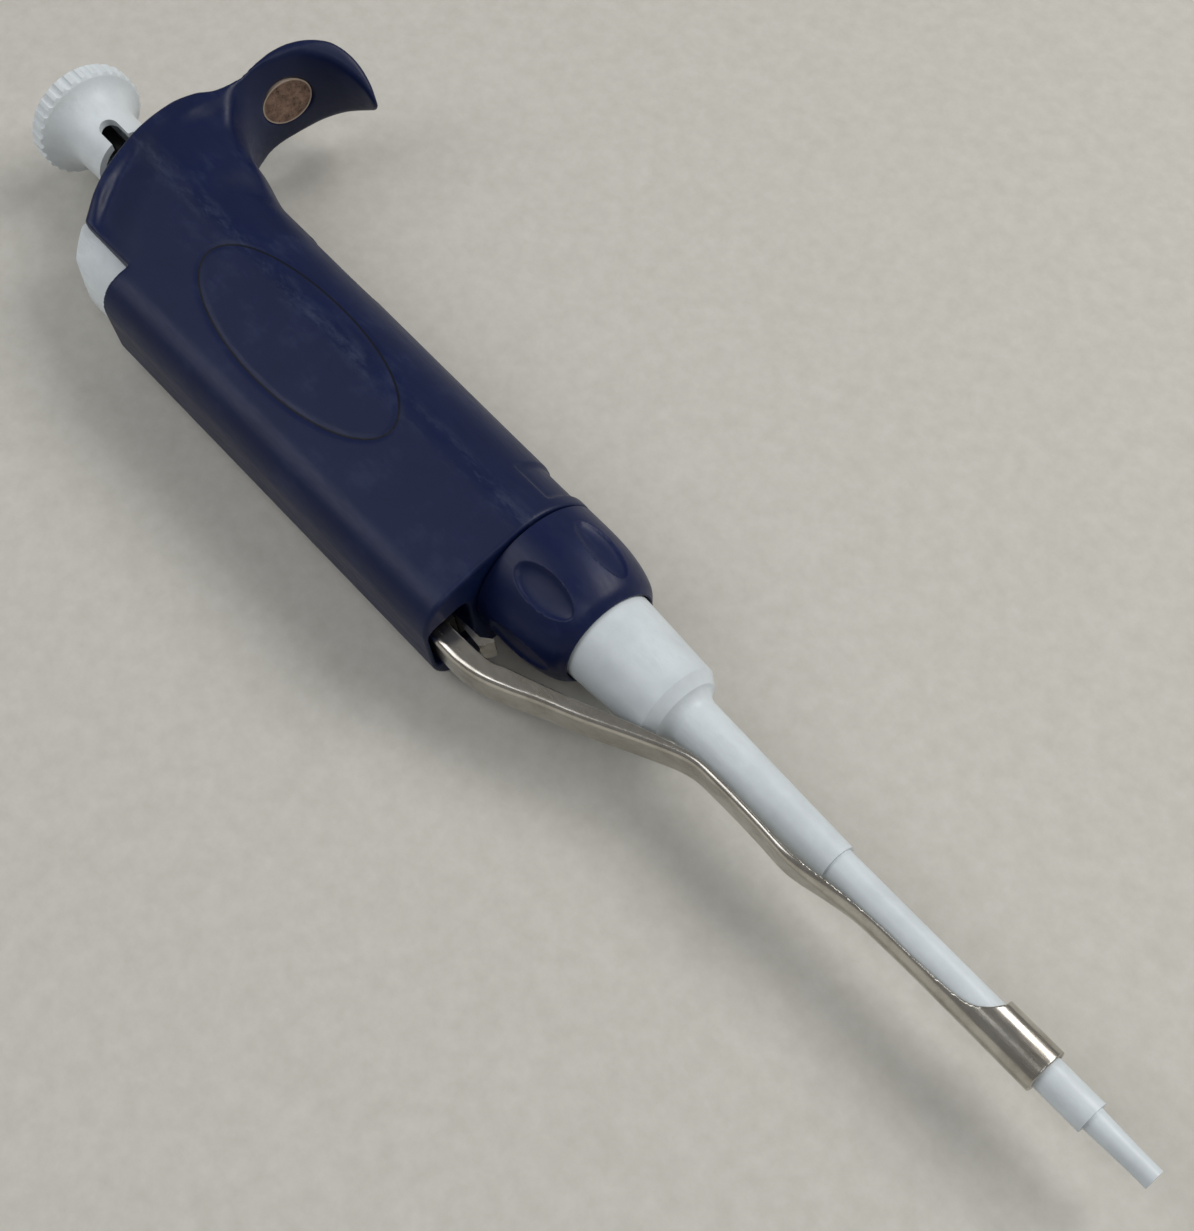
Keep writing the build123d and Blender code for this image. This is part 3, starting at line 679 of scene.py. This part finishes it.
# the finish of each material slot in the record
FINISHES = {
    "handle_plastic": moulded("navy_plastic", rgb(9, 22, 58), rgb(74, 84, 106), 0.42, 0.1,
                              handle_wear_and_painted_light=True),
    "nut_plastic": moulded("nut_navy_plastic", rgb(10, 22, 60), rgb(66, 78, 108), 0.38, 0.08),
    "white_plastic": moulded("white_plastic", rgb(206, 213, 217), rgb(168, 170, 168), 0.34, 0.25),
    "shaft_plastic": moulded("shaft_plastic", rgb(200, 208, 213), rgb(160, 165, 168), 0.3, 0.22),
    "black_plastic": moulded("black_plastic", rgb(20, 20, 21), rgb(70, 70, 70), 0.38, 0.2),
    "wheel_plastic": moulded("wheel_plastic", rgb(225, 225, 220), rgb(150, 150, 145), 0.4, 0.15),
    "seal_rubber": moulded("seal_rubber", rgb(22, 22, 22), rgb(60, 60, 60), 0.65, 0.2),
    "seal_plastic": moulded("seal_plastic", rgb(230, 230, 228), rgb(190, 190, 186), 0.4, 0.1),
    "nickel": metal("nickel_plate", rgb(206, 202, 194), rgb(158, 152, 142), 0.17),
    "steel": metal("turned_steel", rgb(180, 180, 178), rgb(120, 118, 112), 0.3, TURNED),
    "spring_steel": metal("spring_wire", rgb(170, 170, 168), rgb(110, 108, 104), 0.32),
    "brass_part": metal("turned_brass", rgb(205, 170, 100), rgb(150, 112, 60), 0.3, TURNED),
    "disc_metal": tarnished("tarnished_disc"),
    "lens": clear("clear_window"),
}
for part in frame["record"]["subparts"]:
    slots = frame["nodes"][part["node"]].data.materials
    slots.clear()
    slots.append(FINISHES[part["material_slot"]])
handle.data.materials.append(FINISHES["handle_plastic"])
arm.data.materials.append(FINISHES["nickel"])
nut.data.materials.append(FINISHES["nut_plastic"])

# CAD pieces that show get softly rounded edges, of these widths
EDGES = {"plunger_knob": 0.22, "knob_cap": 0.2, "ejector_button": 0.45, "liquid_end": 0.14,
         "plunger_rod": 0.1, "arm_clip": 0.12, "hanger_disc": 0.12}
for name, width in EDGES.items():
    bevel = frame["nodes"][name].modifiers.new("edges", "BEVEL")
    bevel.width = width * MM
    bevel.segments = 3
    bevel.angle_limit = math.radians(35)


# ---------------------------------------------------------------- floor, light and camera
FLOOR_HALF = 6.0
MIDDLE = (0.12, 0.0, 0.0)  # middle of the pipette


def bench(half, height):
    """Pale, faintly mottled square floor at a height."""
    mesh = bpy.data.meshes.new("floor")
    corners = [(-half, -half, height), (half, -half, height), (half, half, height),
               (-half, half, height)]
    mesh.from_pydata(corners, [], [(0, 1, 2, 3)])
    n = Nodes("bench_top")
    place = n.local()
    mottle = n.noise(place, 0.35, 7, 0.65)
    fleck = n.noise(place, 0.9, 4, 0.7)
    colour = n.mix(n.ramp(mottle, 0.3, 0.7), rgb(193, 191, 183), rgb(204, 202, 195))
    mesh.materials.append(n.finish(Base_Color=colour, Roughness=0.75,
                                   Normal=n.bump(fleck, 0.00006, 0.3)))
    piece = bpy.data.objects.new("floor", mesh)
    bpy.context.scene.collection.objects.link(piece)
    return piece


def area_light(name, place, size, power, colour):
    """Soft light that points at the middle of the pipette."""
    data = bpy.data.lights.new(name, "AREA")
    data.shape = "RECTANGLE"
    data.size, data.size_y = size
    data.energy = power
    data.color = colour
    lamp = bpy.data.objects.new(name, data)
    lamp.location = place
    direction = Vector(MIDDLE) - Vector(place)
    lamp.rotation_euler = direction.to_track_quat("-Z", "Y").to_euler()
    bpy.context.scene.collection.objects.link(lamp)


floor = bench(FLOOR_HALF, FLOOR_Z)

world = bpy.data.worlds.new("studio")
world.use_nodes = True
sky = world.node_tree.nodes["Background"]
sky.inputs["Color"].default_value = (1.0, 0.99, 0.97, 1.0)
sky.inputs["Strength"].default_value = 0.2
bpy.context.scene.world = world

area_light("key", (-0.12, -0.62, 0.72), (0.7, 0.5), 5.8, (1.0, 0.98, 0.95))
area_light("fill", (0.62, 0.5, 0.75), (0.7, 0.7), 3.2, (0.97, 0.98, 1.0))
area_light("overhead", (-0.35, 0.25, 0.85), (0.35, 0.35), 1.0, (1.0, 1.0, 1.0))

CAMERA_MM = (-5.15, 94.65, 245.35)
CAMERA_RIGHT = (-0.65475, -0.75585, 0.0)
CAMERA_UP = (0.64927, -0.56242, 0.51199)
CAMERA_BACK = (-0.38699, 0.33523, 0.85899)
camera_data = bpy.data.cameras.new("camera")
camera_data.sensor_fit = "HORIZONTAL"
camera_data.sensor_width = 36.0
camera_data.lens = 60.3015
camera_data.clip_start = 0.01
camera = bpy.data.objects.new("camera", camera_data)
camera_pose = Matrix((CAMERA_RIGHT, CAMERA_UP, CAMERA_BACK)).transposed().to_4x4()
camera_pose.translation = Vector(CAMERA_MM) * MM
camera.matrix_world = camera_pose
bpy.context.scene.collection.objects.link(camera)
bpy.context.scene.camera = camera
bpy.context.scene.view_settings.view_transform = "Standard"

bpy.context.view_layer.update()
